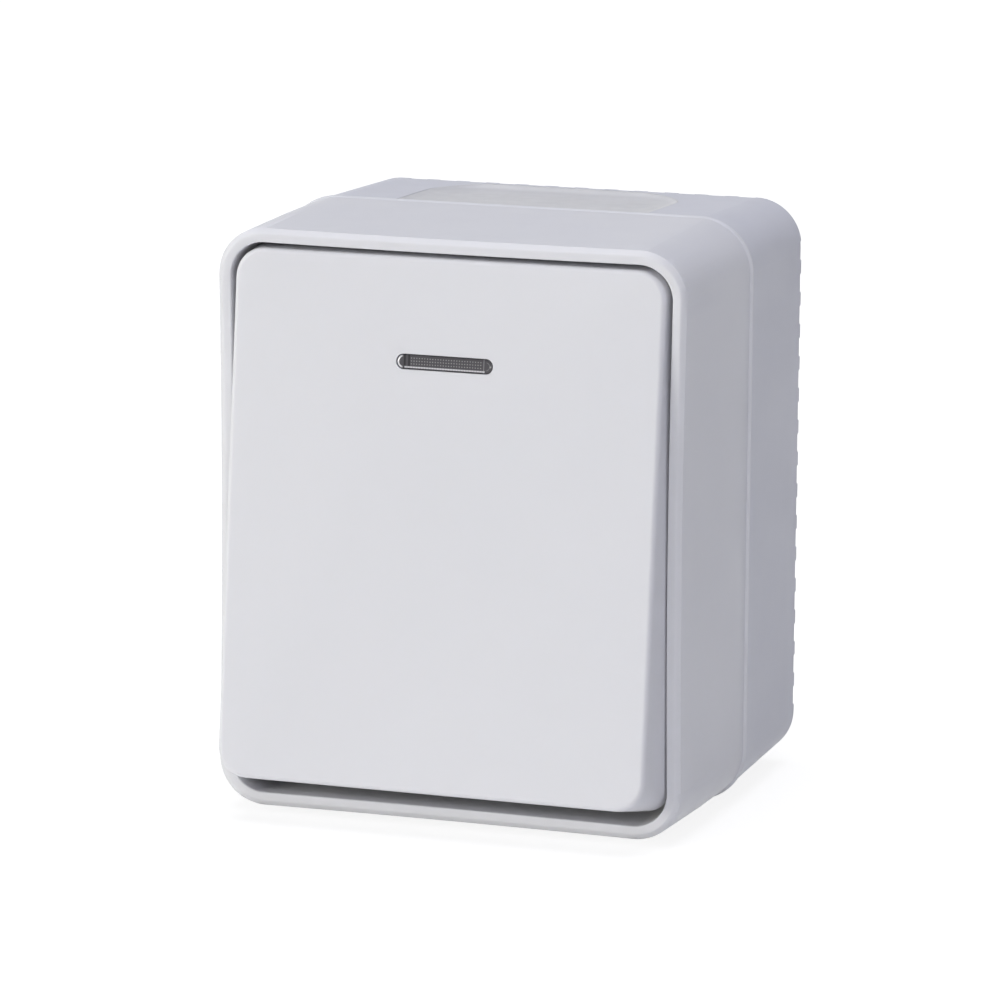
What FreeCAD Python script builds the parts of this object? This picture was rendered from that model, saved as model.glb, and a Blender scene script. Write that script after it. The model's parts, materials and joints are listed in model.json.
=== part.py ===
import FreeCAD, Part
import math
import os

# Surface-mounted weatherproof wall switch with one tilting rocker key, in millimetres.
# +Z is up, -Y is the front, and the wall plane is y = 0. The origin is the middle of the two wall fixings.
# Depths are measured backwards from the front rim of the cover frame.

Vector = FreeCAD.Vector
along_x = Vector(1, 0, 0)
along_y = Vector(0, 1, 0)
along_z = Vector(0, 0, 1)

# Case
case_width = 66.25
case_height = 79.5
corner_radius = 7.2           # at the seam, where the case is widest
frame_depth = 27.3            # front rim to the seam
box_depth = 24.95             # seam to the rear rim
pad_height = 0.5              # spacer pads behind the rear rim
bend_depth = 25.0             # where the frame's sides stop widening
frame_draft = 0.63            # how much narrower each side is at the front rim
box_draft = 0.7
frame_lip = 0.16              # the frame's rear edge turns out by this much
frame_lip_length = 0.5
seam_step = 0.05              # the rear box stands this far inside the frame
front_bevel = 0.55
front_bevel_radius = 0.4
rim_wall = 1.83
rim_inner_edge = 0.2
pocket_draft = 0.24
wall = 2.2

# Lap joint at the seam
lap_length = 3.0
lap_wall = 1.1
lap_clearance = 0.1
gasket_height = 1.2

# Web behind the rocker
web_depth = 13.0
web_thickness = 2.0

# Rear wall and rim
back_recess = 1.0
back_thickness = 2.0
pad_length = 1.9
corner_pad_reach = 6.4
top_pad_pitch = 4.35
top_pad_offset = 0.6
side_pad_pitch = 4.457
side_pad_offset = -1.4
fixing_pitch = 60.3
fixing_radius = 2.2
fixing_length = 7.0
fixing_boss_wall = 1.4

# Cable seals
seal_width = 35.8
seal_rear_margin = 3.95       # rear rim to the seal's rear edge
seal_end_radius = 7.0
seal_recess = 0.25
seal_clearance = 0.05
seal_flange = 1.5
seal_flange_thickness = 1.2
entry_spacing = 17.0
entry_radius = 7.0
entry_membrane = 0.9

# Screws
cover_screw_inset_x = 7.6     # from the case's side to the screw's axis
cover_screw_inset_z = 7.95
cover_screw_radius = 1.45
cover_screw_length = 21.0
cover_head_radius = 2.8
cover_head_height = 1.9
cover_boss_radius = 3.1
boss_joint_setback = 3.3      # the frame's and the box's screw pillars meet this far before the seam
mechanism_screw_z = 23.2
mechanism_screw_radius = 1.2
mechanism_screw_length = 10.0
mechanism_head_radius = 2.3
mechanism_head_height = 1.2
mechanism_post_radius = 2.8
screw_clearance = 0.05
through_clearance = 0.25
screw_recess_width = 0.7
screw_recess_depth = 1.0
post_clearance = 0.4          # round the screw pillars

# Rocker key
key_gap_x = 0.9               # between the key's face and the rim, each side
key_gap_z = 2.03
key_corner_radius = 4.0
key_face_proud = 3.85         # neutral face in front of the rim
key_face_thickness = 2.0
key_side_wall = 1.6
key_skirt_depth = 9.5
key_draft = 0.35
key_edge_radius = 0.7
rocker_half_tilt = 6.0        # degrees each side of neutral
pivot_depth = 10.6
key_rib_thickness = 1.2
key_rib_height = 2.4
key_seat_rib_x = 11.8
key_clip_x = 8.6
key_clip_z = 7.0
key_clip_width = 4.0
key_clip_thickness = 1.5
key_clip_hook = 0.5
key_clip_clearance = 0.12

# Indicator window
window_length = 13.44
window_height = 2.05
window_from_edge = 13.75
window_clearance = 0.06
lens_recess = 0.1
lens_flange = 1.0
lens_flange_thickness = 0.8
guide_width = 11.0
guide_thickness = 1.9
guide_end_width = 5.0
guide_end_thickness = 2.8
guide_end_z = 15.5
guide_end_depth = 6.0
guide_fork_wall = 1.0
guide_fork_length = 3.0

# Actuator under the key
actuator_depth = 4.0
actuator_plate = 1.8
actuator_half_width = 14.6
actuator_half_height = 11.0
cheek_thickness = 1.8
cheek_half_height = 4.4
trunnion_radius = 2.0
trunnion_length = 2.9
trunnion_clearance = 0.05
tube_radius = 3.6
tube_end_depth = 20.0
plunger_radius = 2.1
plunger_clearance = 0.05
plunger_rear_depth = 11.6
plunger_tip_depth = 25.5
plunger_nose_radius = 1.4
spring_wire = 0.3
spring_turns = 5

# Mechanism cover and base
mechanism_gasket = 1.5
mechanism_gasket_wall = 2.4
flange_half_width = 23.0
flange_half_height = 26.6
flange_thickness = 2.0
collar_half = 19.2
collar_wall = 1.6
collar_depth = 12.0
collar_clearance = 0.4
ear_gap = 0.3
ear_half_height = 4.2
base_half = 19.0
base_wall = 1.8
base_end_depth = 38.0
base_floor = 2.0
latch_thickness = 1.2
latch_length = 6.5
latch_half_width = 4.0
latch_clearance = 0.12

# Contacts and terminals
contact_strip_thickness = 0.8
contact_strip_width = 5.6
contact_arm = 8.0
contact_half_tilt = 8.0       # degrees each side of neutral
contact_gap = 0.15            # left between the closed contacts
plunger_gap = 0.15            # left between the plunger and the contact at mid travel
contact_pin_radius = 0.8
contact_pin_clearance = 0.05
bracket_gap = 0.3
bracket_thickness = 1.2
bracket_half_height = 2.2
moving_rivet_radius = 1.5
moving_rivet_height = 0.8
fixed_rivet_radius = 1.7
fixed_rivet_height = 1.0
rivet_shank_radius = 0.8
rivet_shank_clearance = 0.03
rivet_rim_share = 0.7         # of a head's height, up to the crown's edge
rivet_crown_share = 0.55      # of a head's radius, at the crown's flat top
rail_thickness = 1.0
rail_width = 5.0
cage_inner = 10.3
cage_outer = 16.9
cage_half_width = 3.4
cage_wall = 1.1
cage_screw_wall = 1.5
cage_gap = 0.1
cage_end_gap = 0.15
tail_end_gap = 0.6
terminal_screw_radius = 1.4
terminal_head_radius = 2.3
terminal_head_height = 1.6
wire_window = 4.3             # the wires' way into a clamp, through the tub's floor
wire_window_width = 5.2

# Indicator lamp
lamp_z = 15.0
lamp_radius = 1.6
lamp_tip_depth = 8.6
lamp_base_depth = 14.5
lamp_holder_half_width = 3.2
lamp_holder_half_height = 2.3
lamp_holder_front = 12.4
lamp_clearance = 0.05
lead_radius = 0.25
lead_hole_radius = 0.4
lead_half_spacing = 0.8
resistor_radius = 1.1
resistor_length = 6.0
resistor_cap_length = 1.4
resistor_start_x = 3.2
resistor_depth = 22.4

# Planes worked out from the sizes above
case_depth = frame_depth + box_depth + pad_height
seal_end_depth = frame_depth + box_depth - seal_rear_margin
boss_joint_depth = frame_depth - boss_joint_setback
front_y = -case_depth
half_width = case_width / 2
half_height = case_height / 2
cover_screw_x = half_width - cover_screw_inset_x
cover_screw_z = half_height - cover_screw_inset_z
rim_x = half_width - frame_draft - rim_wall
rim_z = half_height - frame_draft - rim_wall
key_width = 2 * (rim_x - key_gap_x)
key_length = 2 * (rim_z - key_gap_z)
web_rear_depth = web_depth + web_thickness
flange_depth = web_rear_depth + mechanism_gasket
flange_rear_depth = flange_depth + flange_thickness
back_inner_depth = case_depth - pad_height - back_recess - back_thickness
key_face_depth = -key_face_proud
key_inner_depth = key_face_depth + key_face_thickness
contact_pivot_depth = plunger_tip_depth + plunger_gap + contact_strip_thickness
closed_reach = (moving_rivet_height * math.cos(math.radians(contact_half_tilt))
                + contact_arm * math.sin(math.radians(contact_half_tilt)))
rail_depth = contact_pivot_depth + closed_reach + contact_gap + fixed_rivet_height
cage_depth = rail_depth + rail_thickness + cage_gap
base_floor_depth = base_end_depth - base_floor
wire_axis = (cage_inner + cage_wall + rail_thickness + cage_outer - cage_screw_wall) / 2


def depth(d):
    """The y of a plane that lies d behind the front rim."""
    return front_y + d


def rounded_loop(half_x, half_z, radius, y):
    """A closed rectangle with round corners in the plane y."""
    k = radius * math.sqrt(0.5)
    edges = []
    for sx, sz in ((1, 1), (1, -1), (-1, -1), (-1, 1)):
        centre_x = sx * (half_x - radius)
        centre_z = sz * (half_z - radius)
        on_top = Vector(centre_x, y, sz * half_z)
        on_side = Vector(sx * half_x, y, centre_z)
        middle = Vector(centre_x + sx * k, y, centre_z + sz * k)
        if sx == sz:
            start, end = on_top, on_side
        else:
            start, end = on_side, on_top
        edges.append((start, middle, end))
    wire = []
    for index, (start, middle, end) in enumerate(edges):
        wire.append(Part.Arc(start, middle, end).toShape())
        following = edges[(index + 1) % len(edges)][0]
        wire.append(Part.LineSegment(end, following).toShape())
    return Part.Wire(wire)


def tapered_block(sections):
    """A block whose round-cornered outline changes in straight runs between sections of half sizes, radius and y."""
    return Part.makeLoft([rounded_loop(*section) for section in sections], True, True)


def rounded_block(half_x, half_z, radius, y_start, y_end):
    """A straight block with round corners."""
    face = Part.Face(rounded_loop(half_x, half_z, radius, y_start))
    return face.extrude(Vector(0, y_end - y_start, 0))


def box(x_start, x_end, y_start, y_end, z_start, z_end):
    """A plain block between two corners given in any order."""
    low = Vector(min(x_start, x_end), min(y_start, y_end), min(z_start, z_end))
    size = (abs(x_end - x_start), abs(y_end - y_start), abs(z_end - z_start))
    return Part.makeBox(size[0], size[1], size[2], low)


def rod(radius, start, end):
    """A cylinder between two points."""
    line = end.sub(start)
    return Part.makeCylinder(radius, line.Length, start, line)


def pin_y(radius, x, z, depth_start, depth_end):
    """A cylinder that runs front to back."""
    return rod(radius, Vector(x, depth(depth_start), z), Vector(x, depth(depth_end), z))


def slot_block(half_length, radius, x, z, y_start, y_end, upright):
    """A block with two round ends, long way up or across."""
    run = half_length - radius
    way = along_z if upright else along_x
    across = along_x if upright else along_z
    middle = Vector(x, y_start, z)
    ends = [middle + way * run, middle - way * run]
    arcs = []
    for end, sign in ((ends[0], 1), (ends[1], -1)):
        arcs.append(Part.Arc(end + across * radius * sign, end + way * radius * sign, end - across * radius * sign))
    first, second = arcs
    edges = [first.toShape(), Part.LineSegment(first.EndPoint, second.StartPoint).toShape(),
             second.toShape(), Part.LineSegment(second.EndPoint, first.StartPoint).toShape()]
    return Part.Face(Part.Wire(edges)).extrude(Vector(0, y_end - y_start, 0))


def joined(shapes):
    """One solid made of shapes that overlap or meet."""
    return shapes[0].multiFuse(shapes[1:]).removeSplitter()


def group(shapes):
    """Separate solids kept together in one file."""
    return Part.makeCompound(shapes)


def four_corners(x, z):
    """The four places that mirror one corner."""
    return [(sx * x, sz * z) for sx in (1, -1) for sz in (1, -1)]


def edges_in_plane(shape, y, half_x, half_z):
    """Edges of a shape that lie in the plane y and inside a rectangle."""
    found = []
    for edge in shape.Edges:
        span = edge.BoundBox
        flat = max(abs(span.YMin - y), abs(span.YMax - y)) < 1e-4
        inside = max(span.XMax, -span.XMin) < half_x and max(span.ZMax, -span.ZMin) < half_z
        if flat and inside:
            found.append(edge)
    return found


def frame_outline(setback, y):
    """The cover frame's outline at a plane, moved inwards by a setback, following the draft of its sides."""
    share = max(0.0, 1 - (y - front_y) / bend_depth)
    inset = frame_draft * share + setback
    return (half_width - inset, half_height - inset, corner_radius - inset, y)


def box_outline(setback, y):
    """The rear box's outline at a plane, moved inwards by a setback."""
    share = (y - depth(frame_depth)) / (box_depth + pad_height)
    inset = seam_step + box_draft * share + setback
    return (half_width - inset, half_height - inset, corner_radius - inset, y)


def screw_recess(centre):
    """A cross recess in a screw head, centred on the head's outer face."""
    length = screw_recess_width * 4
    sizes = ((length, screw_recess_width), (screw_recess_width, length))
    return joined([box(centre.x - w / 2, centre.x + w / 2, centre.y, centre.y + screw_recess_depth,
                       centre.z - h / 2, centre.z + h / 2) for w, h in sizes])


def make_rear_box():
    """Rear housing: drafted shell, lap tongue, spacer pads, wall fixings, screw pillars and cable notches."""
    seam = depth(frame_depth)
    shell = tapered_block([box_outline(0, seam), box_outline(0, 0.0)])
    tongue_start = seam - lap_length
    tongue = rounded_block(half_width - wall + lap_wall - lap_clearance, half_height - wall + lap_wall - lap_clearance,
                           corner_radius - wall + lap_wall, tongue_start, seam + lap_wall)
    cavity = tapered_block([box_outline(wall, tongue_start - 1), box_outline(wall, depth(back_inner_depth))])
    recess = tapered_block([box_outline(wall, -pad_height - back_recess), box_outline(wall, 1.0)])
    body = joined([shell, tongue]).cut(group([cavity, recess]))
    body = body.cut(rim_gaps())
    body = body.cut(group([notch_block(1, 0.0), notch_block(-1, 0.0)]))
    additions = [body]
    for z in (fixing_pitch / 2, -fixing_pitch / 2):
        additions.append(slot_block(fixing_length / 2 + fixing_boss_wall, fixing_radius + fixing_boss_wall, 0, z,
                                    depth(back_inner_depth), 0.0, True))
    for x, z in four_corners(cover_screw_x, cover_screw_z):
        additions.append(pin_y(cover_boss_radius, x, z, boss_joint_depth, back_inner_depth + 1))
        side = math.copysign(half_width - wall / 2 - box_draft, x)
        additions.append(box(x, side, depth(frame_depth + 1), depth(back_inner_depth + 1),
                             z - key_rib_thickness / 2, z + key_rib_thickness / 2))
    for sign in (1, -1):
        z = sign * mechanism_screw_z
        additions.append(pin_y(mechanism_post_radius, 0, z, flange_rear_depth, back_inner_depth + 1))
        additions.append(gusset(z))
    body = joined(additions)
    holes = []
    for z in (fixing_pitch / 2, -fixing_pitch / 2):
        holes.append(slot_block(fixing_length / 2, fixing_radius, 0, z, depth(back_inner_depth - 1), 1.0, True))
    for x, z in four_corners(cover_screw_x, cover_screw_z):
        holes.append(pin_y(cover_screw_radius + screw_clearance, x, z, boss_joint_depth - 1,
                           web_depth + cover_screw_length + 1))
    for z in (mechanism_screw_z, -mechanism_screw_z):
        holes.append(pin_y(mechanism_screw_radius + screw_clearance, 0, z, flange_rear_depth - 1,
                           flange_depth + mechanism_screw_length + 1))
    return body.cut(group(holes))


def gusset(z):
    """Two low triangular webs that brace a mechanism post on the rear wall."""
    reach = mechanism_post_radius * 2.6
    foot = depth(back_inner_depth + 0.5)
    top = foot - reach * 1.6
    half = key_rib_thickness / 2
    points = [Vector(-reach, foot, z - half), Vector(reach, foot, z - half), Vector(0, top, z - half)]
    return Part.Face(Part.makePolygon(points + points[:1])).extrude(Vector(0, 0, 2 * half))


def rim_gaps():
    """What is cut from behind the rear rim so that only the spacer pads and the four corners are left."""
    half_pad = pad_length / 2
    pads = []
    for step in range(-6, 7):
        x = top_pad_offset + step * top_pad_pitch
        pads.append(box(x - half_pad, x + half_pad, -pad_height * 2, 2, -half_height - 2, -half_height + wall * 2))
        pads.append(box(x - half_pad, x + half_pad, -pad_height * 2, 2, half_height - wall * 2, half_height + 2))
    for step in range(-7, 8):
        z = side_pad_offset + step * side_pad_pitch
        pads.append(box(-half_width - 2, -half_width + wall * 2, -pad_height * 2, 2, z - half_pad, z + half_pad))
        pads.append(box(half_width - wall * 2, half_width + 2, -pad_height * 2, 2, z - half_pad, z + half_pad))
    for x, z in four_corners(half_width + 2, half_height + 2):
        reach = corner_pad_reach + 2
        pads.append(box(x, x - math.copysign(reach, x), -pad_height * 2, 2, z, z - math.copysign(reach, z)))
    slab = box(-half_width - 1, half_width + 1, -pad_height, 1, -half_height - 1, half_height + 1)
    return slab.cut(group(pads))


def notch_block(sign, clearance):
    """The open-front notch for a cable seal in the top or bottom wall, less a clearance all round."""
    half = seal_width / 2 - clearance
    start = depth(frame_depth - lap_length) - 1
    end = depth(seal_end_depth) - clearance
    radius = seal_end_radius - clearance
    k = radius * (1 - math.sqrt(0.5))
    z = sign * (half_height - wall * 2)
    left = Part.Arc(Vector(half, end - radius, z), Vector(half - k, end - k, z), Vector(half - radius, end, z))
    right = Part.Arc(Vector(-half + radius, end, z), Vector(-half + k, end - k, z), Vector(-half, end - radius, z))
    corners = [Vector(-half, start, z), Vector(half, start, z)]
    edges = [Part.LineSegment(corners[0], corners[1]).toShape(),
             Part.LineSegment(corners[1], left.StartPoint).toShape(), left.toShape(),
             Part.LineSegment(left.EndPoint, right.StartPoint).toShape(), right.toShape(),
             Part.LineSegment(right.EndPoint, corners[0]).toShape()]
    return Part.Face(Part.Wire(edges)).extrude(Vector(0, 0, sign * (wall * 2 + 2)))


def make_cable_seal(sign):
    """Soft cable entry: a plate in the notch, a tongue under the frame's lap, a flange inside and two thin entries."""
    seam = depth(frame_depth)
    tongue_start = seam - lap_length
    plate = tapered_block([box_outline(seal_recess, seam), box_outline(seal_recess, 0.0)])
    tongue_setback = wall - lap_wall + lap_clearance
    tongue = rounded_block(half_width - tongue_setback, half_height - tongue_setback,
                           corner_radius - tongue_setback, tongue_start, seam + lap_wall)
    cavity = tapered_block([box_outline(wall, tongue_start - 1), box_outline(wall, 1.0)])
    plate = joined([plate, tongue]).cut(cavity).common(notch_block(sign, seal_clearance))
    inner_seam = box_outline(wall, seam)[1]
    inner_end = box_outline(wall, depth(seal_end_depth))[1]
    slope = (inner_seam - inner_end) / (seal_end_depth - frame_depth)
    half = seal_width / 2 + seal_flange
    start = seam + seal_flange
    end = depth(seal_end_depth) - seal_flange
    profile = []
    for y, extra in ((start, 0.0), (end, 0.0), (end, seal_flange_thickness), (start, seal_flange_thickness)):
        z = inner_seam - slope * (y - seam) - extra
        profile.append(Vector(-half + seal_flange * 2, y, sign * z))
    flange = Part.Face(Part.makePolygon(profile + profile[:1])).extrude(Vector(2 * half - seal_flange * 4, 0, 0))
    seal = joined([plate, flange])
    cuts = []
    for x in (-entry_spacing / 2, entry_spacing / 2):
        y = (start + end) / 2
        bottom = sign * (inner_end - seal_flange_thickness - 3)
        top = sign * (half_height - seal_recess - entry_membrane - box_draft)
        cuts.append(rod(entry_radius, Vector(x, y, bottom), Vector(x, y, top)))
    return seal.cut(group(cuts))


def make_cover_frame():
    """Front frame: drafted bezel round the rocker, web with screw seats, lap rebate and screw bosses behind."""
    seam = depth(frame_depth)
    outer = tapered_block([frame_outline(front_bevel, front_y), frame_outline(0, front_y + front_bevel),
                           frame_outline(0, depth(bend_depth)), frame_outline(0, seam - frame_lip_length),
                           frame_outline(-frame_lip, seam)])
    outer = outer.makeFillet(front_bevel_radius, edges_in_plane(outer, front_y, case_width, case_height))
    slope = pocket_draft / web_depth
    mouth = frame_outline(rim_wall - slope, front_y)
    inner_radius = mouth[2] - pocket_draft - slope
    pocket = tapered_block([mouth[:3] + (front_y - 1,),
                            (rim_x - pocket_draft, rim_z - pocket_draft, inner_radius, depth(web_depth))])
    rear_pocket = rounded_block(half_width - wall, half_height - wall, corner_radius - wall,
                                depth(web_rear_depth), seam + 1)
    rebate = rounded_block(half_width - wall + lap_wall, half_height - wall + lap_wall,
                           corner_radius - wall + lap_wall, seam - lap_length - gasket_height, seam + 1)
    opening_half = collar_half + collar_clearance
    opening = rounded_block(opening_half, opening_half, 2.0, depth(web_depth - 1), depth(web_rear_depth + 1))
    body = outer.cut(group([pocket]))
    reach = rim_wall / 2
    body = body.makeFillet(rim_inner_edge, edges_in_plane(body, front_y, rim_x + reach, rim_z + reach))
    body = body.cut(joined([rear_pocket, rebate])).cut(opening)
    bosses = [pin_y(cover_boss_radius, x, z, web_rear_depth - 1, boss_joint_depth)
              for x, z in four_corners(cover_screw_x, cover_screw_z)]
    body = joined([body] + bosses)
    holes = [pin_y(cover_screw_radius + through_clearance, x, z, web_depth - 1, boss_joint_depth + 1)
             for x, z in four_corners(cover_screw_x, cover_screw_z)]
    return body.cut(group(holes))


def make_frame_gasket():
    """Soft ring between the rear box's tongue and the frame's step."""
    end = depth(frame_depth - lap_length)
    start = end - gasket_height
    setback = wall - lap_wall + lap_clearance
    outer = rounded_block(half_width - setback, half_height - setback, corner_radius - setback, start, end)
    inner = rounded_block(half_width - wall, half_height - wall, corner_radius - wall, start - 1, end + 1)
    return outer.cut(inner)


def make_cover_screws():
    """Four pan-head screws that hold the frame to the rear box, under the rocker."""
    screws = []
    for x, z in four_corners(cover_screw_x, cover_screw_z):
        rim = cover_head_height / 2
        head = pin_y(cover_head_radius, x, z, web_depth - rim, web_depth)
        crown = Part.makeCone(cover_head_radius - rim, cover_head_radius, rim,
                              Vector(x, depth(web_depth - cover_head_height), z), along_y)
        head = joined([head, crown])
        shank = pin_y(cover_screw_radius, x, z, web_depth - 0.5, web_depth + cover_screw_length)
        recess = screw_recess(Vector(x, depth(web_depth - cover_head_height), z))
        screws.append(joined([head, shank]).cut(recess))
    return group(screws)


def make_mechanism_seal():
    """Flat soft ring between the frame's web and the mechanism's flange, round the collar."""
    inner_half = collar_half + collar_clearance
    outer_half = inner_half + mechanism_gasket_wall
    start = depth(web_rear_depth)
    end = depth(flange_depth)
    outer = rounded_block(outer_half, outer_half, 3.0, start, end)
    return outer.cut(rounded_block(inner_half, inner_half, 2.0, start - 1, end + 1))


def make_mechanism_cover():
    """Bearing frame: flange, collar, two bearing ears for the trunnions, lamp lead holes and side latches."""
    flange = rounded_block(flange_half_width, flange_half_height, 3.0, depth(flange_depth), depth(flange_rear_depth))
    collar = rounded_block(collar_half, collar_half, 2.0, depth(collar_depth), depth(flange_depth) + 0.5)
    inner = rounded_block(collar_half - collar_wall, collar_half - collar_wall, 1.0,
                          depth(collar_depth) - 1, depth(flange_depth))
    parts = [flange, collar.cut(inner)]
    ear_start = actuator_half_width + ear_gap
    for sign in (1, -1):
        near = sign * ear_start
        far = sign * (collar_half - collar_wall / 2)
        ear = box(near, far, depth(pivot_depth), depth(flange_depth) + 0.5, -ear_half_height, ear_half_height)
        tip = rod(ear_half_height, Vector(near, depth(pivot_depth), 0), Vector(far, depth(pivot_depth), 0))
        parts.extend([ear, tip])
        outside = sign * (base_half + latch_clearance)
        parts.append(box(outside, outside + sign * latch_thickness, depth(flange_rear_depth) - 0.5,
                         depth(flange_rear_depth + latch_length), -latch_half_width, latch_half_width))
    body = joined(parts)
    pillar_radius = max(cover_boss_radius, mechanism_post_radius) + post_clearance
    pillars = [pin_y(pillar_radius, x, z, flange_depth - 1, flange_rear_depth + 1)
               for x, z in four_corners(cover_screw_x, cover_screw_z)]
    body = body.cut(group(pillars))
    well_half = tube_radius + 1.4
    cuts = [rounded_block(well_half, well_half + 1.2, 1.5, depth(flange_depth) - 1, depth(flange_rear_depth) + 1)]
    reach = ear_start + trunnion_length
    cuts.append(rod(trunnion_radius + trunnion_clearance, Vector(-reach, depth(pivot_depth), 0),
                    Vector(reach, depth(pivot_depth), 0)))
    for sign in (1, -1):
        outside = sign * base_half
        cuts.append(box(outside, outside + sign * latch_thickness * 2,
                        depth(flange_rear_depth + latch_length * 0.4), depth(flange_rear_depth + latch_length * 0.8),
                        -latch_half_width * 0.6, latch_half_width * 0.6))
        cuts.append(countersunk_hole(sign * mechanism_screw_z))
        cuts.append(pin_y(lead_hole_radius, sign * lead_half_spacing, lamp_z, flange_depth - 1, flange_rear_depth + 1))
    return body.cut(group(cuts))


def countersunk_hole(z):
    """The clearance hole and cone for a flush mechanism screw."""
    hole = pin_y(mechanism_screw_radius + through_clearance, 0, z, flange_depth - 1, flange_rear_depth + 1)
    cone = Part.makeCone(mechanism_head_radius + screw_clearance, mechanism_screw_radius + screw_clearance,
                         mechanism_head_height, Vector(0, depth(flange_depth), z), along_y)
    mouth = pin_y(mechanism_head_radius + screw_clearance, 0, z, flange_depth - 1, flange_depth)
    return joined([hole, cone, mouth])


def make_mechanism_screws():
    """Two flush screws that hold the mechanism to the rear box's posts."""
    screws = []
    for z in (mechanism_screw_z, -mechanism_screw_z):
        cone = Part.makeCone(mechanism_head_radius, mechanism_screw_radius, mechanism_head_height,
                             Vector(0, depth(flange_depth), z), along_y)
        shank = pin_y(mechanism_screw_radius, 0, z, flange_depth + 0.5, flange_depth + mechanism_screw_length)
        recess = screw_recess(Vector(0, depth(flange_depth), z))
        screws.append(joined([cone, shank]).cut(recess))
    return group(screws)


def make_mechanism_base():
    """Insulating tub with contact pedestals, wire windows in its floor, screw holes in its walls and catches."""
    start = depth(flange_rear_depth)
    tub = rounded_block(base_half, base_half, 2.0, start, depth(base_end_depth))
    inner_half = base_half - base_wall
    tub = tub.cut(rounded_block(inner_half, inner_half, 1.0, start - 1, depth(base_floor_depth)))
    pedestal_depth = rail_depth + rail_thickness
    floor = depth(base_floor_depth) + 0.5
    half = rail_width / 2 - 0.1
    parts = [tub]
    arm_end = cage_inner - cage_gap
    arm_start = contact_arm - fixed_rivet_radius - 0.6
    for sign in (1, -1):
        parts.append(box(-half, half, depth(pedestal_depth), floor, sign * arm_start, sign * arm_end))
        outside = sign * base_half
        catch = box(outside - sign * 0.5, outside + sign * latch_thickness,
                    depth(flange_rear_depth + latch_length * 0.4 + latch_clearance),
                    depth(flange_rear_depth + latch_length * 0.8 - latch_clearance),
                    -latch_half_width * 0.5, latch_half_width * 0.5)
        parts.append(catch)
    ear_end = contact_strip_width / 2 + bracket_gap + bracket_thickness
    parts.append(box(-ear_end, arm_end, depth(pedestal_depth), floor, -bracket_half_height, bracket_half_height))
    body = joined(parts)
    cuts = []
    for way in (along_z, along_z * -1, along_x):
        cuts.append(turned_to(way, box(-wire_window_width / 2, wire_window_width / 2, depth(base_floor_depth - 0.5),
                                       depth(base_end_depth + 1), wire_axis - wire_window / 2,
                                       wire_axis + wire_window / 2)))
        at_screw = Vector(0, depth(terminal_screw_depth()), 0)
        cuts.append(rod(terminal_head_radius + screw_clearance, at_screw + way * inner_half - way * 0.5,
                        at_screw + way * (base_half + 1)))
    return body.cut(group(cuts))


def terminal_screw_depth():
    """How deep the clamp screws lie: the middle of the cages."""
    return (cage_depth + base_floor_depth - cage_end_gap) / 2


def turned_to(way, shape):
    """A shape drawn for the +Z arm, turned about the front-to-back axis to another arm."""
    turned = shape.copy()
    if way == -along_z:
        turned.rotate(Vector(0, 0, 0), along_y, 180)
    if way == along_x:
        turned.rotate(Vector(0, 0, 0), along_y, 90)
    return turned


def rail_tail():
    """The end of a contact rail that turns back into its clamp, drawn for the +Z arm."""
    half = rail_width / 2
    inner = cage_inner + cage_wall
    return box(-half, half, depth(rail_depth), depth(base_floor_depth - tail_end_gap), inner, inner + rail_thickness)


def make_fixed_contact(way):
    """Rail of one switched pole: a strip under the fixed rivet, turned back into its clamp."""
    half = rail_width / 2
    start = contact_arm - fixed_rivet_radius - 0.4
    inner = cage_inner + cage_wall
    strip = box(-half, half, depth(rail_depth), depth(rail_depth + rail_thickness), start, inner + 0.2)
    rail = joined([strip, rail_tail()])
    hole = pin_y(rivet_shank_radius + rivet_shank_clearance, 0, contact_arm, rail_depth - 1,
                 rail_depth + rail_thickness + 1)
    return turned_to(way, rail.cut(hole))


def make_common_contact():
    """Rail of the common pole: a bracket with two pierced ears for the contact's pin, turned back into its clamp."""
    ear_in = contact_strip_width / 2 + bracket_gap
    ear_out = ear_in + bracket_thickness
    inner = cage_inner + cage_wall
    half = bracket_half_height
    plate = box(-ear_out, inner + 0.2, depth(rail_depth), depth(rail_depth + rail_thickness), -half, half)
    parts = [plate, turned_to(along_x, rail_tail())]
    for sign in (1, -1):
        near = sign * ear_in
        far = sign * ear_out
        pivot = depth(contact_pivot_depth)
        parts.append(box(near, far, pivot, depth(rail_depth) + 0.5, -half, half))
        parts.append(rod(half, Vector(near, pivot, 0), Vector(far, pivot, 0)))
    bore = rod(contact_pin_radius + contact_pin_clearance, Vector(-ear_out - 1, depth(contact_pivot_depth), 0),
               Vector(ear_out + 1, depth(contact_pivot_depth), 0))
    return joined(parts).cut(bore)


def contact_rivet(radius, height, shank, base, way):
    """A contact rivet with a crowned head; its shank ends flush with the strip."""
    rim = height * rivet_rim_share
    head = rod(radius, base, base + way * rim)
    crown = Part.makeCone(radius, radius * rivet_crown_share, height - rim, base + way * rim, way)
    return joined([head, crown, rod(rivet_shank_radius, base + way * 0.2, base - way * shank)])


def make_fixed_rivets():
    """Silver rivets on the two switched rails."""
    rivets = []
    for z in (contact_arm, -contact_arm):
        base = Vector(0, depth(rail_depth), z)
        rivets.append(contact_rivet(fixed_rivet_radius, fixed_rivet_height, rail_thickness, base, -along_y))
    return group(rivets)


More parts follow.
